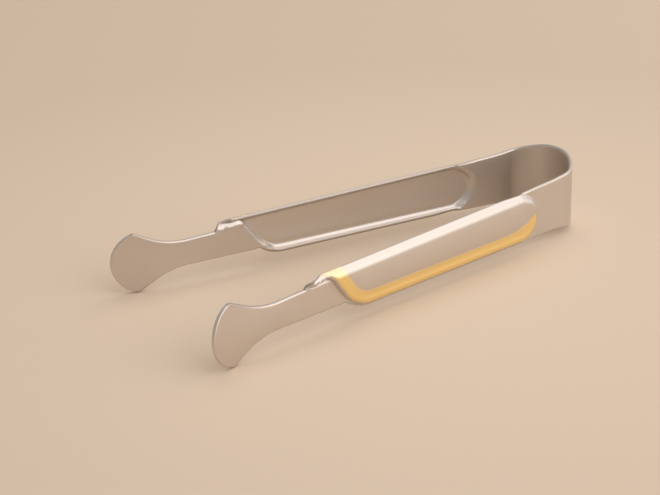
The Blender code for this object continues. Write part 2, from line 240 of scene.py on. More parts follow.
@dataclass(frozen=True)
class Panel:
    """The pressed panel, as a level over the plane of the sheet.

    The wall is a side bend along both sides. It is the whole ramp within
    "ramp_span" of the direction of the bow, and passes into the oblique step
    over the "step_share" of the lower curve.
    """

    strip: Strip
    rise: float = 1.4 * MM
    ramp_span: float = math.radians(55.0)
    step_share: Pair = (0.25, 0.60)
    step_counts: tuple[int, int] = (30, 24)
    round_from_bow: float = 15.35 * MM
    curve_from_bow: float = 59.2 * MM
    curve_radius: float = 7.45 * MM
    curve_turn: float = math.radians(57.0)
    fillet_height: float = 3.68 * MM
    fillet_radius: float = 2.6 * MM
    fillet_turn: float = math.radians(65.0)
    ledge_depth: float = 0.36 * MM
    ledge_rise: Pair = (2.75 * MM, 3.75 * MM)
    ledge_span: Zone = (80.8 * MM, 82.2 * MM, 86.0 * MM, 87.6 * MM)
    doming: tuple[Pair, ...] = ((-1.0, -0.15), (-0.55, 0.16), (0.05, 0.0), (1.0, -0.1058))
    doming_run: float = 5.0 * MM

    @property
    def side_run(self) -> float:
        """Width of the bend along the sides, at the middle of the sheet."""
        return self.run(Wall.SIDE)

    @property
    def side_inset(self) -> float:
        """Distance from the strip's edge to the panel's flat."""
        return self.side_run + self.strip.sheet / 2

    def flat_half(self, along: float) -> float:
        """Half the width of the panel's flat."""
        return self.strip.half_width(along) - self.side_inset

    @property
    def round_centre(self) -> Pair:
        """Centre of the round end."""
        return self.strip.bow_half + self.round_from_bow, 0.0

    @property
    def round_radius(self) -> float:
        """Radius of the round end of the flat."""
        return self.flat_half(self.round_centre[0])

    @property
    def curve_centre(self) -> Pair:
        """Centre of the lower curve of the oblique end."""
        along = self.strip.bow_half + self.curve_from_bow
        return along, self.curve_radius - self.flat_half(along)

    @property
    def heading(self) -> float:
        """Direction in which the oblique end faces."""
        return self.curve_turn - QUARTER

    @property
    def step_foot(self) -> Pair:
        """Where the lower curve passes into the straight part of the oblique end."""
        return on_arc(self.curve_centre, self.curve_radius, self.heading)

    def step_place(self, height: float) -> Pair:
        """Place on the straight part of the oblique end at a height."""
        foot_x, foot_z = self.step_foot
        return foot_x + (height - foot_z) / math.tan(self.curve_turn), height

    @property
    def fillet_centre(self) -> Pair:
        """Centre of the sweep from the oblique end into the tongue."""
        return on_arc(self.step_place(self.fillet_height), self.fillet_radius, self.heading)

    def past_step(self, along: float, height: float) -> float:
        """Distance beyond the oblique end, whose top sweeps round into the tongue.

        Args:
            along: place along the strip.
            height: place across the strip.

        Returns:
            The distance, negative on the panel's side.
        """
        centre_x, centre_z = self.fillet_centre
        gap_x, gap_z = along - centre_x, height - centre_z
        swung = self.heading + math.pi - math.atan2(gap_z, gap_x)
        swung = (swung + math.pi) % math.tau - math.pi
        if 0.0 < swung <= self.fillet_turn:
            return self.fillet_radius - math.hypot(gap_x, gap_z)
        face = self.heading - (self.fillet_turn if swung > 0.0 else 0.0)
        return self.fillet_radius + gap_x * math.cos(face) + gap_z * math.sin(face)

    def step_edge(self) -> list[Triple]:
        """Upper part of the oblique end.

        Returns:
            Along, height and the direction that the end faces, from its foot upwards.
        """
        straight, swept = self.step_counts
        heights = even(self.step_foot[1], self.fillet_height, straight)
        points = [(*self.step_place(height), self.heading) for height in heights]
        for turn in even(0.0, self.fillet_turn, swept) + [self.fillet_turn]:
            face = self.heading - turn
            points.append((*on_arc(self.fillet_centre, -self.fillet_radius, face), face))
        return points

    def contact(self, along: float, height: float) -> Pair:
        """Distance of a point beyond the edge of the panel's flat, its upper side left out.

        Args:
            along: place along the strip.
            height: place across the strip.

        Returns:
            The distance, negative on the flat, and the direction in which it is measured.
        """
        round_x, round_z = self.round_centre
        if along <= round_x:
            gap_x, gap_z = along - round_x, height - round_z
            return math.hypot(gap_x, gap_z) - self.round_radius, math.atan2(gap_z, gap_x) % math.tau
        curve_x, curve_z = self.curve_centre
        if along < curve_x:
            return -height - self.flat_half(along), -QUARTER
        gap_x, gap_z = along - curve_x, height - curve_z
        if gap_z * math.cos(self.heading) < gap_x * math.sin(self.heading):
            return math.hypot(gap_x, gap_z) - self.curve_radius, math.atan2(gap_z, gap_x)
        return self.past_step(along, height), self.heading

    def run(self, wall: Wall) -> float:
        """Width of a wall in the plane of the sheet.

        Args:
            wall: form of the wall.

        Returns:
            The width.
        """
        bend, turn = wall.value
        if wall is Wall.SIDE:
            return bend * math.sin(turn)
        straight = (self.rise - 2 * bend * (1 - math.cos(turn))) / math.tan(turn)
        return 2 * bend * math.sin(turn) + straight

    def drop(self, wall: Wall, beyond: float) -> float:
        """Level of the sheet's middle on a wall.

        Args:
            wall: form of the wall.
            beyond: distance beyond the panel's flat.

        Returns:
            The level.
        """
        bend, turn = wall.value
        beyond = min(max(beyond, 0.0), self.run(wall))
        first = bend * math.sin(turn)
        if beyond <= first:
            return self.rise - bend + math.sqrt(bend**2 - beyond**2)
        level = self.rise - bend * (1 - math.cos(turn))
        if wall is Wall.SIDE:
            return level
        left = self.run(wall) - beyond
        if left <= first:
            return bend - math.sqrt(bend**2 - left**2)
        return level - (beyond - first) * math.tan(turn)

    def share_and_reach(self, angle: float) -> tuple[Wall, float, float]:
        """Which wall the panel has in a direction.

        Args:
            angle: direction of the wall in the plane of the sheet.

        Returns:
            The form mixed with the side bend, its share, and the wall's width.
        """
        if angle > 0.0:
            out = self.round_radius + self.run(Wall.RAMP)
            across = self.round_radius + self.side_run
            foot = out * across / math.hypot(across * math.cos(angle), out * math.sin(angle))
            share = smooth(-math.cos(angle) / math.cos(self.ramp_span))
            return Wall.RAMP, share, foot - self.round_radius
        share = rising((angle + QUARTER) / self.curve_turn, *self.step_share)
        return Wall.STEP, share, between(self.side_run, self.run(Wall.STEP), share)

    def swelling(self, along: float, height: float) -> float:
        """Extra level of the flat, which is slightly domed across and hollowed towards its lower edge.

        Args:
            along: place along the strip.
            height: place across the strip.

        Returns:
            The extra level.
        """
        half = self.flat_half(along)
        part = min(max(height / half, -1.0), 1.0)
        level = 0.0
        for (start, slope), (stop, next_slope) in zip(self.doming, self.doming[1:]):
            reach = min(max(part - start, 0.0), stop - start)
            level += slope * reach + (next_slope - slope) * reach**2 / (2 * (stop - start))
        from_round = along - self.round_centre[0] + self.round_radius
        to_step = self.step_place(height)[0] - along
        return level * half * smooth(from_round / self.doming_run) * smooth(to_step / self.doming_run)

    def ledge(self, along: float, height: float) -> float:
        """How far the sheet dips under the tongue, above the claw's top line."""
        return self.ledge_depth * rising(height, *self.ledge_rise) * window(along, self.ledge_span)

    def level(self, along: float, height: float) -> float:
        """Level of the sheet's middle at a place in the plane of the sheet.

        Args:
            along: place along the strip.
            height: place across the strip.

        Returns:
            The level.
        """
        beyond, angle = self.contact(along, height)
        level = self.rise
        if beyond > 0.0:
            wall, share, reach = self.share_and_reach(angle)
            part = min(beyond / reach, 1.0)
            side = self.drop(Wall.SIDE, part * self.side_run)
            level = between(side, self.drop(wall, part * self.run(wall)), share)
        if along > self.round_centre[0]:
            level *= 1.0 - rising(along, *self.ledge_span[2:])
            low = 1.0 - level / self.rise
            level *= self.drop(Wall.SIDE, height - self.flat_half(along)) / self.rise
            level -= self.ledge(along, height) * low
        return level + self.swelling(along, height)


@dataclass(frozen=True)
class Claw:
    """The flat end of the strip: shank, waist and fan."""

    strip: Strip
    shank_half: float = 3.2 * MM
    waist_half: float = 3.0 * MM
    waist_radius: float = 16.5 * MM
    waist_before_tip: float = 16.8 * MM
    flare: float = math.radians(29.0)
    fan_radius: float = 6.85 * MM
    fan_corner: float = 1.5 * MM
    counts: tuple[int, int, int, int] = (60, 40, 20, 30)

    @property
    def waist(self) -> Pair:
        """Where the waist starts to widen."""
        return self.strip.tip - self.waist_before_tip, self.waist_half

    @property
    def hollow_centre(self) -> Pair:
        """Centre of the hollow between the waist and the fan."""
        return self.waist[0], self.waist_half + self.waist_radius

    @property
    def flank(self) -> Pair:
        """Where the hollow passes into the straight flank of the fan."""
        return on_arc(self.hollow_centre, self.waist_radius, self.flare - QUARTER)

    def corner(self) -> Triple:
        """The corner where the fan's flank meets the tip's arc.

        Returns:
            Along and height of its centre, and the direction in which it touches the arc.
        """
        fan_centre = self.strip.tip - self.fan_radius
        flank_x, flank_z = self.flank
        start_x = flank_x - fan_centre + self.fan_corner * math.sin(self.flare)
        start_z = flank_z - self.fan_corner * math.cos(self.flare)
        along = start_x * math.cos(self.flare) + start_z * math.sin(self.flare)
        gap = start_x**2 + start_z**2 - (self.fan_radius - self.fan_corner) ** 2
        x, z = on_arc((start_x, start_z), -along + math.sqrt(along**2 - gap), self.flare)
        return x + fan_centre, z, math.atan2(z, x)

    def outline(self, start: Pair) -> list[Pair]:
        """Upper outline from a place on the shank to the tip's arc.

        Args:
            start: along and height of that place.

        Returns:
            The points, as along and height.
        """
        on_shank, on_hollow, on_flank, on_corner = self.counts
        points = [on_line(start, self.waist, part) for part in even(0.0, 1.0, on_shank)]
        for angle in even(-QUARTER, self.flare - QUARTER, on_hollow):
            points.append(on_arc(self.hollow_centre, self.waist_radius, angle))
        x, z, contact = self.corner()
        begin = QUARTER + self.flare
        end = on_arc((x, z), self.fan_corner, begin)
        points += [on_line(self.flank, end, part) for part in even(0.0, 1.0, on_flank)]
        for angle in even(begin, contact, on_corner) + [contact]:
            points.append(on_arc((x, z), self.fan_corner, angle))
        return points


@dataclass(frozen=True)
class EdgePoint:
    """Where a column of the sheet meets its free edge, and which way the edge faces there."""

    column: float
    along: float
    height: float
    out_x: float
    out_z: float
    fold: float
    flap: float


@dataclass
class FreeEdge:
    """One long edge of the strip: its outline and the way its rim is folded in."""

    strip: Strip
    panel: Panel
    claw: Claw
    sign: int
    flat_rim: float = 0.3 * MM
    full_fold: float = math.radians(80.0)
    fold_start: Pair = (20.5 * MM, 33.5 * MM)
    lower_fold_end: Pair = (74.6 * MM, 79.2 * MM)
    upper_fold_end: Pair = (83.6 * MM, 87.4 * MM)
    trim_start: float = 83.6 * MM
    trim_bulge: Pair = (86.6 * MM, 5.15 * MM)
    trim_end: float = 88.0 * MM
    upper_counts: tuple[int, int] = (400, 40)
    lower_counts: tuple[int, int] = (350, 60)
    slant_zone: Zone = (58.0 * MM, 70.0 * MM, 89.0 * MM, 97.0 * MM)
    slant_rounds: int = 12
    spacing: float = 0.02 * MM
    blur_reach: int = 12
    table: dict[str, np.ndarray] = field(default_factory=dict)

    def __post_init__(self) -> None:
        """Work out the edge once, as dense columns of numbers."""
        along, height = np.array(self.outline()).T
        height = height * self.sign
        path = np.concatenate([[0.0], np.cumsum(np.hypot(np.diff(along), np.diff(height)))])
        fine = np.append(np.arange(0.0, path[-1], self.spacing), path[-1])
        along = np.interp(fine, path, along)
        height = np.interp(fine, path, height)
        tangent_x = self.blur(np.gradient(along, fine))
        tangent_z = self.blur(np.gradient(height, fine))
        size = np.hypot(tangent_x, tangent_z) * self.sign
        out_x = -tangent_z / size
        out_z = tangent_x / size
        fold = np.array([self.fold(a) for a in along])
        flap = self.flat_rim + (self.side_drop - self.flat_rim) * fold
        inset = self.strip.sheet / 2 * np.sin(fold * self.full_fold) + flap * np.cos(fold * self.full_fold)
        along = along - out_x * inset
        height = height - out_z * inset
        column = np.array([self.column_of(a, z) for a, z in zip(along, height)])
        self.table = {
            "column": np.maximum.accumulate(column), "along": along, "height": height,
            "out_x": out_x, "out_z": out_z, "fold": fold, "flap": flap,
        }

    @property
    def side_drop(self) -> float:
        """Length of the rim beside the panel, from the end of the bend to the free edge."""
        return self.panel.drop(Wall.SIDE, self.panel.side_run) + self.strip.sheet / 2

    def blur(self, values: np.ndarray) -> np.ndarray:
        """Even out a direction along the edge, so that a notch is slightly rounded.

        Args:
            values: the direction at each place.

        Returns:
            The same, evened out.
        """
        width = 2 * self.blur_reach + 1
        padded = np.pad(values, self.blur_reach, mode="edge")
        return np.convolve(padded, np.ones(width) / width, mode="valid")

    def fold(self, along: float) -> float:
        """How far the rim is folded in, from 0 to 1."""
        end = self.upper_fold_end if self.sign > 0 else self.lower_fold_end
        return window(along, self.fold_start + end)

    def outline(self) -> list[Pair]:
        """Outline of the strip from the crown to the tip's arc, as for the upper edge.

        Returns:
            The points, as along and height.
        """
        shank_half = self.claw.shank_half
        if self.sign > 0:
            on_strip, on_trim = self.upper_counts
            points = [(a, self.strip.half_width(a)) for a in even(0.0, self.trim_start, on_strip)]
            start = (self.trim_start, self.strip.half_width(self.trim_start))
            end = (self.trim_end, shank_half)
            for part in even(0.0, 1.0, on_trim):
                near = on_line(start, self.trim_bulge, part)
                points.append(on_line(near, on_line(self.trim_bulge, end, part), part))
            return points + self.claw.outline(end)
        on_strip, on_curve = self.lower_counts
        centre_x, centre_z = self.panel.curve_centre
        centre = (centre_x, -centre_z)
        radius = self.panel.curve_radius + self.panel.side_inset
        last = math.asin((centre_z + shank_half) / radius)
        points = [(a, self.strip.half_width(a)) for a in even(0.0, centre_x, on_strip)]
        points += [on_arc(centre, radius, angle) for angle in even(QUARTER, last, on_curve)]
        return points + self.claw.outline(on_arc(centre, radius, last))

    def slant(self, column: float) -> float:
        """Lean of the columns, so that they follow the oblique end of the panel."""
        return window(column, self.slant_zone) / math.tan(self.panel.curve_turn)

    def column_of(self, along: float, height: float) -> float:
        """Column that passes through a point.

        Args:
            along: place along the strip.
            height: place across the strip.

        Returns:
            The column.
        """
        column = along
        for _ in range(self.slant_rounds):
            column = along - self.slant(column) * height
        return column

    def at(self, column: float) -> EdgePoint:
        """Meeting of a column and the edge."""
        columns = self.table["column"]
        return EdgePoint(**{key: float(np.interp(column, columns, row)) for key, row in self.table.items()})


def fine_grid(name: str, columns: int, rows: int) -> bpy.types.Object:
    """Add a flat grid that is to be shaped.

    Args:
        name: name of the piece.
        columns: number of points along it.
        rows: number of points across it.

    Returns:
        The grid, with its points numbered along each row in turn.
    """
    bpy.ops.object.select_all(action="DESELECT")
    bpy.ops.mesh.primitive_grid_add(x_subdivisions=columns - 1, y_subdivisions=rows - 1, size=2)
    grid = bpy.context.object
    grid.name = name
    return grid


def even_out(weld: float = 0.0) -> None:
    """Merge the active mesh's points that lie together, and turn its faces one way.

    Args:
        weld: distance within which points are merged, or 0 to merge none.
    """
    bpy.ops.object.mode_set(mode="EDIT")
    bpy.ops.mesh.select_all(action="SELECT")
    if weld:
        bpy.ops.mesh.remove_doubles(threshold=weld)
    bpy.ops.mesh.normals_make_consistent(inside=False)
    bpy.ops.object.mode_set(mode="OBJECT")


def thicken(piece: bpy.types.Object, thickness: float, offset: float, group: str = "") -> None:
    """Give a sheet its thickness.

    Args:
        piece: the sheet.
        thickness: its thickness.
        offset: -1 to add it behind the sheet, 0 to add half of it on each side.
        group: vertex group with the share of the thickness at each point.
    """
    solid = piece.modifiers.new("Thickness", "SOLIDIFY")
    solid.thickness = thickness
    solid.offset = offset
    solid.vertex_group = group
    bpy.ops.object.modifier_apply(modifier=solid.name)


@dataclass
class SteelHalf:
    """One half of the strip, from the crown of the bow to the tip of a claw.

    Each of the "zones" starts so many millimetres from the crown and has so
    many columns of points, more where the sheet is bent.
    """

    strip: Strip
    panel: Panel
    claw: Claw
    side: Side
    zones: tuple[tuple[float, int], ...] = (
        (0.0, 10), (1.0, 52), (14.0, 6), (20.0, 50), (31.0, 18),
        (66.0, 24), (73.0, 100), (84.0, 34), (89.0, 8), (96.0, 38),
    )
    tip_columns: int = 7
    rim_rows: int = 7
    bend_rows: int = 8
    flat_rows: int = 30
    edge_flat: float = 0.10
    fan_start: float = 97.0 * MM
    claw_crown: float = 0.09
    claw_crown_start: Pair = (88.5 * MM, 94.0 * MM)
    claw_crown_end: float = 2.5 * MM
    tip_crown_loss: float = 0.5
    flex_span: Pair = (4.0 * MM, 20.0 * MM)

    def __post_init__(self) -> None:
        """Prepare both long edges."""
        self.lower = FreeEdge(self.strip, self.panel, self.claw, -1)
        self.upper = FreeEdge(self.strip, self.panel, self.claw, 1)

    def columns(self) -> list[float]:
        """Places of the columns along the strip.

        Returns:
            The places, from the crown to the fan's corners.
        """
        end = self.last_column()
        edge = self.strip.sheet / 2
        starts = [start * MM for start, _ in self.zones] + [end - edge]
        places = []
        for i, (_, count) in enumerate(self.zones):
            places += even(starts[i], starts[i + 1], count)
        places += [starts[-1] + edge * math.sin(turn) for turn in even(0.0, QUARTER, self.tip_columns)]
        return places + [end]

    def last_column(self) -> float:
        """Column of the fan's corners."""
        x, _, contact = self.claw.corner()
        return x + self.claw.fan_corner * math.cos(contact)

    def swell(self, column: float, height: float, half: float) -> float:
        """Extra length that rounds the last columns to the tip's arc.

        Args:
            column: place of the column along the strip.
            height: place across the strip.
            half: half the strip's width there.

        Returns:
            The extra length.
        """
        part = (column - self.fan_start) / (self.last_column() - self.fan_start)
        if part <= 0.0:
            return 0.0
        _, z, contact = self.claw.corner()
        corner = z + self.claw.fan_corner * math.sin(contact)
        offset = min(abs(height) / half, 1.0) * math.sin(contact)
        arc = self.claw.fan_radius * (math.sqrt(1.0 - offset**2) - math.cos(contact))
        return min(part, 1.0) * (half / corner) * arc

    def crowning(self, column: float, height: float, half: float) -> float:
        """Extra level of the claw, which is very slightly domed across.

        Args:
            column: place of the column along the strip.
            height: place across the strip.
            half: half the strip's width there.

        Returns:
            The extra level.
        """
        share = rising(column, *self.claw_crown_start)
        to_tip = self.last_column() - column
        share *= 1.0 - self.tip_crown_loss * smooth(1.0 - to_tip / self.claw_crown_end)
        return share * self.claw_crown * half / 2 * (1.0 - min(abs(height) / half, 1.0) ** 2)

    def column_points(self, column: float) -> list[Triple]:
        """Points of one column from the lower free edge to the upper one.

        Args:
            column: place of the column along the strip.

        Returns:
            Along, height and level of each point.
        """
        low = self.lower.at(column)
        high = self.upper.at(column)
        reach = self.panel.side_run
        start, stop = low.height + reach, high.height - reach
        turns = even(0.0, QUARTER, self.bend_rows) + [QUARTER]
        heights = [low.height + reach * (1 - math.cos(turn)) for turn in turns[:-1]]
        heights += even(start, stop, self.flat_rows)
        heights += [stop + reach * math.sin(turn) for turn in turns]
        half = max(abs(low.height), abs(high.height)) + self.lower.flat_rim
        lean = self.upper.slant(column)
        points = []
        for height in heights:
            along = column + lean * height
            level = self.panel.level(along, height) + self.crowning(column, height, half)
            points.append((along, height, level))
        points = self.rim(low, points[0][2])[::-1] + points + self.rim(high, points[-1][2])
        return [(a + self.swell(column, z, half), z, level) for a, z, level in points]

    def rim(self, edge: EdgePoint, level: float) -> list[Triple]:
        """Points of the folded rim beyond the edge of a column.

        Args:
            edge: where the column meets the free edge.
            level: level of the sheet there.

        Returns:
            Along, height and level of each point.
        """
        angle = edge.fold * self.lower.full_fold
        points = []
        for i in range(1, self.rim_rows + 1):
            length = edge.flap * math.sin(QUARTER * i / self.rim_rows)
            flat = length * math.cos(angle)
            place = (edge.along + edge.out_x * flat, edge.height + edge.out_z * flat)
            points.append((*place, level - length * math.sin(angle)))
        return points

    def build(self) -> bpy.types.Object:
        """Model the half as a fine sheet with its thickness and rounded edges.

        Returns:
            The half.
        """
        lines = [self.column_points(column) for column in self.columns()]
        sheet = fine_grid("steel_strip_" + self.side.word, len(lines), len(lines[0]))
        group = sheet.vertex_groups.new(name="sheet")
        for vert in sheet.data.vertices:
            row, column = divmod(vert.index, len(lines))
            vert.co = self.strip.place(*lines[column][row], self.side)
            group.add([vert.index], self.thickness_share(lines, column, row), "REPLACE")
        thicken(sheet, self.strip.sheet, 0.0, group.name)
        even_out()
        bpy.ops.object.shade_smooth_by_angle(angle=SHARP_ANGLE)
        return sheet

    def thickness_share(self, lines: list[list[Triple]], column: int, row: int) -> float:
        """Share of the sheet's thickness at a point, less near a free edge so that the edge is round.

        Args:
            lines: points of the columns.
            column: number of the point's column.
            row: number of the point in its column.

        Returns:
            The share.
        """
        line = lines[column]
        near = min(math.dist(line[row], end) for end in (line[0], line[-1], lines[-1][row]))
        left = 1.0 - min(near / (self.strip.sheet / 2), 1.0)
        return max(math.sqrt(1.0 - left**2), self.edge_flat)

    def dress(self, sheet: bpy.types.Object, steel: bpy.types.Material) -> None:
        """Give the half its metal and hide the imported parts of its arm, and of the bow on the right.

        Args:
            sheet: the half.
            steel: its metal.
        """
        sheet.data.materials.clear()
        sheet.data.materials.append(steel)
        word = self.side.word
        nodes = ["shoulder_" + word, "grip_panel_" + word, "claw_" + word]
        if self.side is Side.RIGHT:
            nodes.append("spring_bow")
        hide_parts(*nodes)
        start = self.strip.place(self.flex_span[0], 0.0, 0.0, self.side)
        end = self.strip.place(self.flex_span[1], 0.0, 0.0, self.side)
        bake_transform(sheet)


@dataclass
class GiltBorder:
    """The gilt border: a thin skin over the panel's outer face and its bends.

    The covers say how far it runs down the bend on each side of the panel.
    """

    strip: Strip
    panel: Panel
    side: Side
    width: float = 1.9 * MM
    lift: float = 0.05 * MM
    thickness: float = 0.04 * MM
    sweep_from_bow: float = 20.4 * MM
    sweep: float = 15.8 * MM
    lower_cover: float = 0.66 * MM
    oblique_cover: float = 0.34 * MM
    round_cover: float = 0.3 * MM
    round_turn: Pair = (math.radians(215.0), math.radians(270.0))
    point_turn: float = math.radians(30.0)
    point_search: Pair = (math.radians(130.0), math.radians(0.25))
    tongue_end: float = 84.1 * MM
    tongue_share: float = 0.97
    counts: tuple[int, int, int, int] = (70, 80, 36, 70)
    rows: int = 26
    crowding: float = 1.5
    slope_step: float = 0.02 * MM
    weld: float = 0.002 * MM

    def cover(self, angle: float, start: float) -> float:
        """How far the gold runs over the bend.

        Args:
            angle: direction in which the bend faces.
            start: direction of the border's point.

        Returns:
            The distance.
        """
        if angle > QUARTER:
            full = between(self.round_cover, self.lower_cover, rising(angle, *self.round_turn))
            return full * smooth((angle - start) / self.point_turn)
        part = smooth((angle + QUARTER) / self.panel.curve_turn)
        return between(self.lower_cover, self.oblique_cover, part)

    def swept(self, along: float, height: float, angle: float) -> float:
        """Width of the border where its inner edge sweeps up to a point at the round end.

        Args:
            along: place on the flat's edge, along the strip.
            height: the same place, across the strip.
            angle: direction in which the edge faces.

        Returns:
            The width, or a negative number before the point.
        """
        centre_x = self.strip.bow_half + self.sweep_from_bow
        centre_z = self.width + self.sweep - self.panel.flat_half(centre_x)
        gap_x, gap_z = along - centre_x, height - centre_z
        beyond = gap_x**2 + gap_z**2 - self.sweep**2
        ahead = gap_x * math.cos(angle) + gap_z * math.sin(angle)
        if beyond < 0 or ahead**2 < beyond:
            return -1.0
        return ahead - math.sqrt(ahead**2 - beyond)

    def point_angle(self) -> float:
        """Direction of the border's point from the centre of the round end.

        Returns:
            The direction.
        """
        angle, step = self.point_search
        while self.swept(*on_arc(self.panel.round_centre, self.panel.round_radius, angle), angle) < 0:
            angle += step
        return angle

    def stations(self) -> list[tuple[Pair, Pair]]:
        """Pairs of points on the inner and the outer edge.

        Returns:
            The pairs, as along and height, from the border's point to the end of its tongue.
        """
        panel = self.panel
        start = self.point_angle()
        on_round, on_side, on_curve, _ = self.counts
        edge = []
        for angle in even(start, 3 * QUARTER, on_round):
            edge.append((*on_arc(panel.round_centre, panel.round_radius, angle), angle))
        for along in even(panel.round_centre[0], panel.curve_centre[0], on_side):
            edge.append((along, -panel.flat_half(along), -QUARTER))
        for angle in even(-QUARTER, panel.heading, on_curve):
            edge.append((*on_arc(panel.curve_centre, panel.curve_radius, angle), angle))
        pairs = []
        for along, height, angle in edge:
            width = self.width
            if along < self.strip.bow_half + self.sweep_from_bow:
                width = max(self.swept(along, height, angle), 0.0)
            place, cover = (along, height), self.cover(angle, start)
            pairs.append((on_arc(place, -width, angle), on_arc(place, cover, angle)))
        return pairs + self.tongue_stations(*pairs[-1])

    def tongue_stations(self, inner: Pair, outer: Pair) -> list[tuple[Pair, Pair]]:
        """Pairs of points up the oblique end and over the side bend to the rim.

        Args:
            inner: last point of the inner edge on the flat.
            outer: last point of the outer edge at the foot of the oblique end.

        Returns:
            The pairs that follow.
        """
        panel = self.panel
        rim = panel.side_run * self.tongue_share
        rise = panel.flat_half(inner[0]) + rim - inner[1]
        end = (inner[0] + rise / math.tan(panel.curve_turn), inner[1] + rise)
        path = [outer]
        for along, height, angle in panel.step_edge():
            place = on_arc((along, height), self.oblique_cover, angle)
            below_rim = outer[1] < place[1] < panel.flat_half(along) + rim
            if below_rim and along < self.tongue_end - self.oblique_cover:
                path.append(place)
        path.append((self.tongue_end, panel.flat_half(self.tongue_end) + rim))
        reach = np.concatenate([[0.0], np.cumsum([math.dist(a, b) for a, b in zip(path, path[1:])])])
        alongs, heights = zip(*path)
        pairs = []
        for i in range(1, self.counts[-1] + 1):
            part = i / self.counts[-1]
            run = part * reach[-1]
            far = (float(np.interp(run, reach, alongs)), float(np.interp(run, reach, heights)))
            pairs.append((on_line(inner, end, part), far))
        return pairs

    def skin_point(self, along: float, height: float) -> Triple:
        """Point on the sheet's outer face above a place in its plane.

        Args:
            along: place along the strip.
            height: place across the strip.

        Returns:
            X, Y and Z.
        """
        level, step = self.panel.level, self.slope_step
        slope_x = (level(along + step, height) - level(along - step, height)) / (2 * step)
        slope_z = (level(along, height + step) - level(along, height - step)) / (2 * step)
        lift = (self.strip.sheet / 2 + self.lift) / math.sqrt(1 + slope_x**2 + slope_z**2)
        out = level(along, height) + lift
        return self.strip.place(along - slope_x * lift, height - slope_z * lift, out, self.side)

    def build(self, sheet: bpy.types.Object) -> bpy.types.Object:
        """Model the border as a fine patch laid on the sheet.

        Args:
            sheet: the half of the strip that carries it.

        Returns:
            The border.
        """
        pairs = self.stations()
        skin = fine_grid("gilt_edge_" + self.side.word, len(pairs), self.rows + 1)
        for vert in skin.data.vertices:
            row, column = divmod(vert.index, len(pairs))
            part = 1 - (1 - row / self.rows) ** self.crowding
            vert.co = self.skin_point(*on_line(*pairs[column], part))
        wrap = skin.modifiers.new("Laid on", "SHRINKWRAP")
        wrap.target = sheet
        wrap.wrap_method = "NEAREST_SURFACEPOINT"
        wrap.wrap_mode = "ABOVE_SURFACE"
        wrap.offset = self.lift
        bpy.ops.object.modifier_apply(modifier=wrap.name)
        even_out(self.weld)
        self.face_outwards(skin)
        thicken(skin, self.thickness, -1.0)
        bpy.ops.object.shade_smooth_by_angle(angle=SHARP_ANGLE)
        return skin

    def face_outwards(self, skin: bpy.types.Object) -> None:
        """Turn the patch so that its faces look away from the other arm.

        Args:
            skin: the patch.
        """
        total = sum(face.normal.y * face.area for face in skin.data.polygons)
        if total * self.side.value < 0:
            skin.data.flip_normals()

    def dress(self, skin: bpy.types.Object, gold: bpy.types.Material) -> None:
        """Give the border its gold and hang it on its arm.

        Args:
            skin: the border.
            gold: its plating.
        """
        skin.data.materials.clear()
        skin.data.materials.append(gold)
        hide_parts("gilt_border_" + self.side.word)
        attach(skin, self.side.word + "_arm")


def operator(kind: str, reflected: bool = False) -> Callable:
    """Make an operator of the Socket class, as a Math node.

    Args:
        kind: the node's operation.
        reflected: whether the other value comes first.

    Returns:
        The operator.
    """
    def method(socket: "Socket", other: "Socket | float" = 0.0) -> "Socket":
        """Add the node on the two values."""
        first, second = (other, socket) if reflected else (socket, other)
        return socket.shader.node("ShaderNodeMath", {"operation": kind}, {0: first, 1: second})
    return method


@dataclass(frozen=True)
class Socket:
    """An output of a shader node that takes part in Python expressions."""

    shader: "Shader"
    output: bpy.types.NodeSocket

    __add__, __radd__ = operator("ADD"), operator("ADD", True)
    __sub__, __rsub__ = operator("SUBTRACT"), operator("SUBTRACT", True)
    __mul__, __rmul__ = operator("MULTIPLY"), operator("MULTIPLY", True)
    __abs__ = operator("ABSOLUTE")


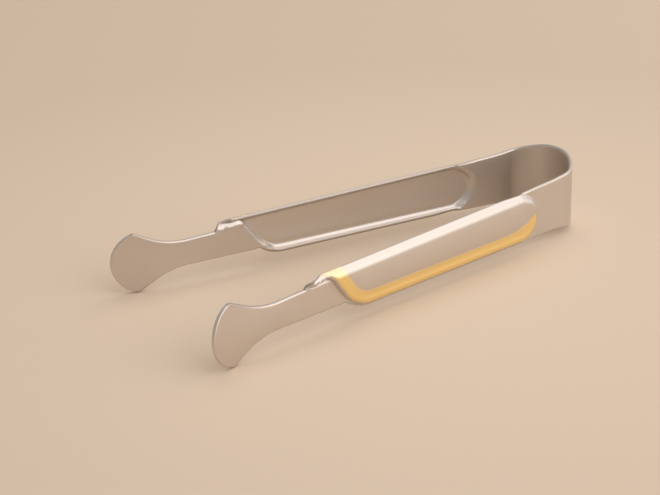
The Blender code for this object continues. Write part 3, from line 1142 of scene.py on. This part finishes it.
class Shader:
    """A material under construction."""

    def __init__(self, name: str) -> None:
        """Start a material with one Principled shader.

        Args:
            name: name of the material.
        """
        self.material = bpy.data.materials.new(name)
        self.material.use_nodes = True
        self.tree = self.material.node_tree

    def node(
        self, kind: str, settings: dict[str, object], inputs: dict[int | str, object], output: int | str = 0,
    ) -> Socket:
        """Add a node.

        Args:
            kind: type of the node.
            settings: the node's own settings, with a ramp's stops under "stops".
            inputs: values or links of its sockets.
            output: the output that is wanted.

        Returns:
            That output.
        """
        node = self.tree.nodes.new(kind)
        for key, value in settings.items():
            if key == "stops":
                for stop, (place, shade) in zip(node.color_ramp.elements, value):
                    stop.position = place
                    stop.color = (shade, shade, shade, 1.0)
            else:
                setattr(node, key, value)
        self.feed(node, inputs)
        return Socket(self, node.outputs[output])

    def feed(self, node: bpy.types.Node, inputs: dict[int | str, object]) -> None:
        """Set a node's sockets to values or link them.

        Args:
            node: the node.
            inputs: values or links of its sockets.
        """
        for key, value in inputs.items():
            if isinstance(value, Socket):
                self.tree.links.new(value.output, node.inputs[key])
            else:
                node.inputs[key].default_value = value

    def finish(self, inputs: dict[int | str, object]) -> bpy.types.Material:
        """Set the Principled shader's sockets and hand over the material."""
        self.feed(self.tree.nodes["Principled BSDF"], inputs)
        return self.material

    def own_map(self) -> Socket:
        """Coordinates of the piece's own map, from 0 to 1 along and across it."""
        return self.node("ShaderNodeUVMap", {"uv_map": "UVMap"}, {})

    def share_of(self, axis: int) -> Socket:
        """Place along the piece, for axis 0, or across it, for axis 1."""
        return self.node("ShaderNodeSeparateXYZ", {}, {0: self.own_map()}, axis)

    def place(self) -> Socket:
        """Coordinates in the object's frame."""
        return self.node("ShaderNodeTexCoord", {}, {}, "Object")

    def noise(self, vector: Socket, scale: float, detail: float) -> Socket:
        """Soft noise, about 0.5 on average."""
        return self.node("ShaderNodeTexNoise", {}, {"Vector": vector, "Scale": scale, "Detail": detail}, 0)

    def grain(self, scale: Triple, detail: float) -> Socket:
        """Noise on the piece's own map, stretched."""
        stretched = self.node("ShaderNodeMapping", {}, {"Vector": self.own_map(), "Scale": scale})
        return self.noise(stretched, 1.0, detail)

    def ramp(self, value: Socket, low: Pair, high: Pair) -> Socket:
        """Ease a value between two stops, each a place and a level."""
        return self.node("ShaderNodeValToRGB", {"stops": (low, high)}, {0: value})

    def blend(self, share: Socket, first: Socket | Colour, second: Socket | Colour) -> Socket:
        """Mix two colours."""
        return self.node("ShaderNodeMix", {"data_type": "RGBA"}, {0: share, 6: first, 7: second}, 2)

    def bump(self, height: Socket, strength: float, distance: float) -> Socket:
        """Surface relief from a height."""
        relief = {"Strength": strength, "Distance": distance, "Height": height}
        return self.node("ShaderNodeBump", {}, relief)


def wavering(level: float, *waves: tuple[Socket, float]) -> Socket:
    """Value about a level, to which each noise adds by its contrast.

    Args:
        level: the value's average.
        waves: each noise with its contrast.

    Returns:
        The value.
    """
    value = level
    for noise, contrast in waves:
        value = value + (noise - 0.5) * contrast
    return value


def tinted(colour: Colour, tint: Triple) -> Colour:
    """Colour with its red, green and blue scaled."""
    return (*[part * tone for part, tone in zip(colour, tint)], 1.0)


@dataclass(frozen=True)
class SatinSteel:
    """Stainless steel with a fine satin grain along the strip, and painted shade that darkens its folded
    rims.
    """

    colour: Colour = (0.70, 0.64, 0.59, 1.0)
    hollow_tint: Triple = (0.93, 0.93, 0.93)
    hollow_shares: Pair = (0.5, 0.4)
    # painted shade: dark colour laid over the folded rims and free edges of the sheet
    rim_shade_colour: Colour = (0.43, 0.37, 0.32, 1.0)
    edge_zone: Pair = (0.80, 0.90)
    rim_shade_share: float = 0.8
    edge_roughness: float = 0.08
    roughness: float = 0.42
    roughness_contrast: Pair = (0.10, 0.06)
    grain_scale: Triple = (14.0, 420.0, 1.0)
    fine_scale: Triple = (60.0, 1400.0, 1.0)
    fine_share: float = 0.6
    smudge_scale: float = 160.0
    relief: float = 0.35
    grain_depth: float = 0.0012 * MM

    def material(self) -> bpy.types.Material:
        """Build the material.

        Returns:
            The material.
        """
        shader = Shader("satin steel")
        grain = shader.grain(self.grain_scale, 3.0)
        fine = shader.grain(self.fine_scale, 2.0)
        smudge = shader.noise(shader.place(), self.smudge_scale, 3.0)
        # painted shade: the mask below darkens the colour towards both long edges of the sheet, over its
        # folded rims, and also roughens them
        off_middle = abs(shader.share_of(1) * 2.0 - 1.0)
        edge = shader.ramp(off_middle, (self.edge_zone[0], 0.0), (self.edge_zone[1], 1.0))
        rough = wavering(self.roughness, *zip((grain, smudge), self.roughness_contrast))
        share = wavering(0.5, *zip((grain, smudge), self.hollow_shares))
        tone = shader.blend(share, tinted(self.colour, self.hollow_tint), self.colour)
        return shader.finish({
            "Base Color": shader.blend(edge * self.rim_shade_share, tone, self.rim_shade_colour),
            "Roughness": rough + edge * self.edge_roughness,
            "Metallic": 1.0,
            "Normal": shader.bump(grain + fine * self.fine_share, self.relief, self.grain_depth),
        })


@dataclass(frozen=True)
class GoldPlating:
    """Satin gold plating, thinner and paler at its inner edge, and with a painted highlight that pales it on
    the tongue.
    """

    colour: Colour = (0.98, 0.76, 0.36, 1.0)
    deep_tint: Triple = (0.96, 0.93, 0.82)
    deep_share: float = 0.6
    pale: Colour = (0.88, 0.74, 0.48, 1.0)
    pale_width: float = 0.16
    pale_waver: float = 0.05
    pale_share: float = 0.6
    # painted highlight: pale colour that stands in for the glint on the tongue's top bend
    glint_colour: Colour = (0.80, 0.64, 0.43, 1.0)
    glint_zone: Pair = (0.86, 0.94)
    glint_share: float = 0.85
    roughness: float = 0.40
    roughness_contrast: Pair = (0.10, 0.05)
    grain_scale: Triple = (90.0, 60.0, 1.0)
    cloud_scale: float = 260.0
    relief: float = 0.3
    grain_depth: float = 0.001 * MM

    def material(self) -> bpy.types.Material:
        """Build the material.

        Returns:
            The material.
        """
        shader = Shader("gold plating")
        grain = shader.grain(self.grain_scale, 3.0)
        cloud = shader.noise(shader.place(), self.cloud_scale, 3.0)
        across = shader.share_of(1) + (cloud - 0.5) * self.pale_waver
        inner = shader.ramp(across, (0.0, 1.0), (self.pale_width, 0.0))
        # painted highlight: the gold pales towards the tongue's end, where the glint lies
        tongue = shader.ramp(shader.share_of(0), (self.glint_zone[0], 0.0), (self.glint_zone[1], 1.0))
        deep = tinted(self.colour, self.deep_tint)
        tone = shader.blend(wavering(0.5, (cloud, self.deep_share)), deep, self.colour)
        plated = shader.blend(inner * self.pale_share, tone, self.pale)
        return shader.finish({
            "Base Color": shader.blend(tongue * self.glint_share, plated, self.glint_colour),
            "Roughness": wavering(self.roughness, *zip((grain, cloud), self.roughness_contrast)),
            "Metallic": 1.0,
            "Normal": shader.bump(grain, self.relief, self.grain_depth),
        })


@dataclass(frozen=True)
class PalePaper:
    """Smooth pale paper of the floor, with painted shade that darkens it a little away from the tongs."""

    colour: Colour = (0.745, 0.60, 0.469, 1.0)
    fibre_tint: Triple = (0.975, 0.975, 0.975)
    fibre_scale: float = 900.0
    cloud_scale: float = 6.0
    shares: Pair = (0.8, 0.6)
    # painted shade: darker tint of the paper far from the tongs, as the light falls off
    falloff_shade_tint: Triple = (0.86, 0.86, 0.86)
    fall_off: float = 0.16
    fall_start: float = 0.25
    roughness: float = 0.9
    gloss: float = 0.15

    def material(self) -> bpy.types.Material:
        """Build the material.

        Returns:
            The material.
        """
        shader = Shader("pale paper")
        place = shader.place()
        fibre = shader.noise(place, self.fibre_scale, 4.0)
        cloud = shader.noise(place, self.cloud_scale, 2.0)
        share = wavering(0.5, *zip((fibre, cloud), self.shares))
        paper = shader.blend(share, tinted(self.colour, self.fibre_tint), self.colour)
        # painted shade: the paper darkens with distance from the tongs
        away = shader.node("ShaderNodeVectorMath", {"operation": "LENGTH"}, {0: place}, "Value")
        fade = shader.ramp(away * (1.0 / self.fall_off), (self.fall_start, 0.0), (1.0, 1.0))
        return shader.finish({
            "Base Color": shader.blend(fade, paper, tinted(self.colour, self.falloff_shade_tint)),
            "Roughness": self.roughness,
            "Specular IOR Level": self.gloss,
        })


@dataclass(frozen=True)
class Lamp:
    """A large soft lamp."""

    name: str
    place: Triple
    size: Pair
    power: float
    tilt: float = 0.0
    lean: float = 0.0

    def hang(self, colour: Colour) -> bpy.types.Object:
        """Add the lamp to the studio, level unless it is tipped towards the back or the claws.

        Args:
            colour: colour of its light.

        Returns:
            The lamp.
        """
        bpy.ops.object.light_add(type="AREA", location=self.place)
        lamp = bpy.context.object
        lamp.name = self.name
        light = lamp.data
        light.shape = "RECTANGLE"
        light.size, light.size_y = self.size
        light.energy = self.power
        light.color = colour[:3]
        lamp.rotation_euler = (self.tilt, self.lean, 0.0)
        return lamp


@dataclass
class Studio:
    """Floor, soft light and camera."""

    floor_size: float = 6.0
    floor_cuts: int = 4
    floor_tilt: float = math.radians(0.955)
    floor_contact: float = 52.05 * MM
    floor_gap: float = 0.02 * MM
    top_lamp: Lamp = Lamp("top lamp", (0.8, -0.4, 1.2), (1.9, 2.6), 18.6)
    side_lamp: Lamp = Lamp("side lamp", (1.1, -1.35, 0.56), (2.5, 1.1), 11.9, QUARTER)
    end_lamp: Lamp = Lamp("end lamp", (2.2, -0.2, 0.5), (1.0, 1.9), 5.4, 0.0, QUARTER)
    world_colour: Colour = (1.0, 0.96, 0.92, 1.0)
    world_strength: float = 0.45
    azimuth: float = math.radians(32.01)
    elevation: float = math.radians(24.19)
    roll: float = math.radians(-2.68)
    distance: float = 299.48 * MM
    target: Triple = (-10.53 * MM, 1.52 * MM, 8.45 * MM)
    focal_px: float = 1401.56
    photo_width: int = 660
    sensor_width: float = 36.0
    clip: Pair = (0.01, 20.0)

    def floor(self) -> bpy.types.Object:
        """Lay the floor under the bow and the claws.

        Returns:
            The floor.
        """
        bpy.ops.object.select_all(action="DESELECT")
        bpy.ops.mesh.primitive_plane_add(size=self.floor_size)
        floor = bpy.context.object
        floor.name = "floor"
        bpy.ops.object.mode_set(mode="EDIT")
        bpy.ops.mesh.subdivide(number_cuts=self.floor_cuts)
        bpy.ops.object.mode_set(mode="OBJECT")
        slope = math.tan(self.floor_tilt)
        for vert in floor.data.vertices:
            vert.co.z = (self.floor_contact - vert.co.x) * slope - self.floor_gap
        floor.data.materials.append(PalePaper().material())
        return floor

    def lights(self) -> None:
        """Hang one soft lamp above the tongs, and stand one beside them and one at the bow's end."""
        for lamp in (self.top_lamp, self.side_lamp, self.end_lamp):
            lamp.hang(self.world_colour)

    def surroundings(self) -> None:
        """Pale surroundings of a light tent."""
        world = bpy.data.worlds.new("pale room")
        world.use_nodes = True
        back = world.node_tree.nodes["Background"]
        back.inputs["Color"].default_value = self.world_colour
        back.inputs["Strength"].default_value = self.world_strength
        bpy.context.scene.world = world

    def camera(self) -> bpy.types.Object:
        """Set the camera where the photograph was taken.

        Returns:
            The camera.
        """
        az, el = self.azimuth, self.elevation
        back = Vector((-math.sin(az) * math.cos(el), -math.cos(az) * math.cos(el), math.sin(el)))
        level = Vector((math.cos(az), -math.sin(az), 0.0))
        upright = back.cross(level)
        right = level * math.cos(self.roll) + upright * math.sin(self.roll)
        up = upright * math.cos(self.roll) - level * math.sin(self.roll)
        eye = Vector(self.target) + back * self.distance
        bpy.ops.object.camera_add()
        camera = bpy.context.object
        camera.name = "camera"
        turn = Matrix((right, up, back)).transposed().to_4x4()
        camera.matrix_world = Matrix.Translation(eye) @ turn
        camera.data.sensor_fit = "HORIZONTAL"
        camera.data.sensor_width = self.sensor_width
        camera.data.lens = self.focal_px * self.sensor_width / self.photo_width
        camera.data.clip_start, camera.data.clip_end = self.clip
        bpy.context.scene.camera = camera
        return camera


def main() -> None:
    """Build the tongs and the studio."""
    logging.basicConfig(level=logging.INFO, format="%(name)s: %(message)s")
    scene = bpy.context.scene
    scene.view_settings.view_transform = "Standard"
    strip = Strip()
    panel = Panel(strip)
    claw = Claw(strip)
    steel = SatinSteel().material()
    gold = GoldPlating().material()
    for side in Side:
        half = SteelHalf(strip, panel, claw, side)
        sheet = half.build()
        border = GiltBorder(strip, panel, side)
        skin = border.build(sheet)
        half.dress(sheet, steel)
        border.dress(skin, gold)
        LOG.info("%s: %d faces", sheet.name, len(sheet.data.polygons))
        LOG.info("%s: %d faces", skin.name, len(skin.data.polygons))
    studio = Studio()
    studio.floor()
    studio.lights()
    studio.surroundings()
    studio.camera()
    LOG.info("studio is set")


if __name__ == "__main__":
    main()
